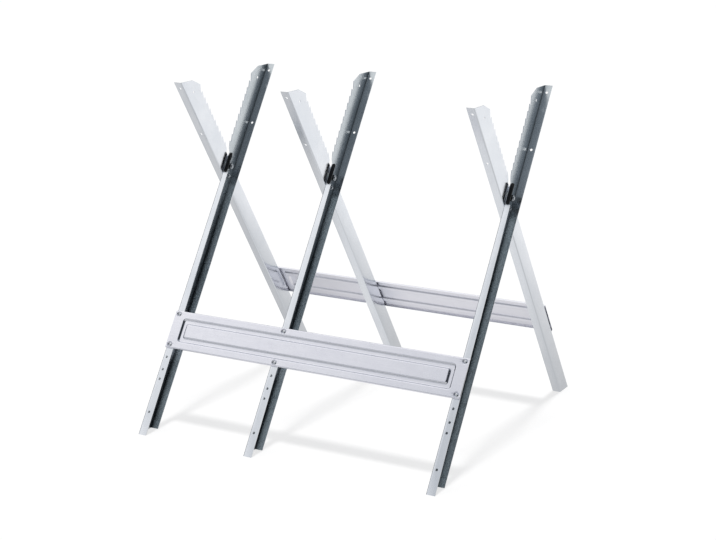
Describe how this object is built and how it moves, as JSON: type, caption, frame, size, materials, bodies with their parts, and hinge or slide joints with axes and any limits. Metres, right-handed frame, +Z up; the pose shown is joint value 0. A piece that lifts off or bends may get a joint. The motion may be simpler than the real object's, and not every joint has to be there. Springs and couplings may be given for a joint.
{
  "type": "log sawhorse",
  "caption": "Folding galvanised log sawhorse: crossed sheet-steel channel frames with toothed arms, tied by pressed crossbars, cradling a log for sawing.",
  "frame": {"origin": "on the floor, at the middle of the footprint, under the fold axis", "axes": "+X along the log and the row of frames, -Y towards the front legs' feet, +Z up"},
  "size_m": [0.7952, 0.8064, 0.795],
  "materials": {
    "galvanised_sheet": "bright hot-dip galvanised sheet, faint spangle, satin",
    "crossbar_sheet": "bright galvanised sheet, satin, pressed",
    "zinc_fasteners": "bright zinc plating",
    "nylon": "natural nylon",
    "black_plastic": "moulded black plastic, half gloss"
  },
  "bodies": {
    "front_frame": {"front_leg_left": "galvanised_sheet", "front_leg_middle": "galvanised_sheet", "front_leg_right": "galvanised_sheet", "front_crossbar": "crossbar_sheet", "front_bar_screws": "zinc_fasteners", "front_bar_nuts": "zinc_fasteners", "pivot_bolts": "zinc_fasteners", "pivot_nuts": "zinc_fasteners", "nut_washers": "zinc_fasteners", "head_washers": "zinc_fasteners", "nylon_spacers": "nylon", "stop_bolts": "zinc_fasteners", "stop_nuts": "zinc_fasteners", "pinch_guards": "black_plastic"},
    "rear_frame": {"rear_leg_left": "galvanised_sheet", "rear_leg_middle": "galvanised_sheet", "rear_leg_right": "galvanised_sheet", "rear_crossbar": "crossbar_sheet", "rear_bar_screws": "zinc_fasteners", "rear_bar_nuts": "zinc_fasteners"}
  },
  "joints": [
    {"name": "fold", "type": "hinge", "parent": "front_frame", "child": "rear_frame", "pos_m": [0, 0, 0.566], "axis": [-1, 0, 0], "range_deg": [0, 64]}
  ]
}
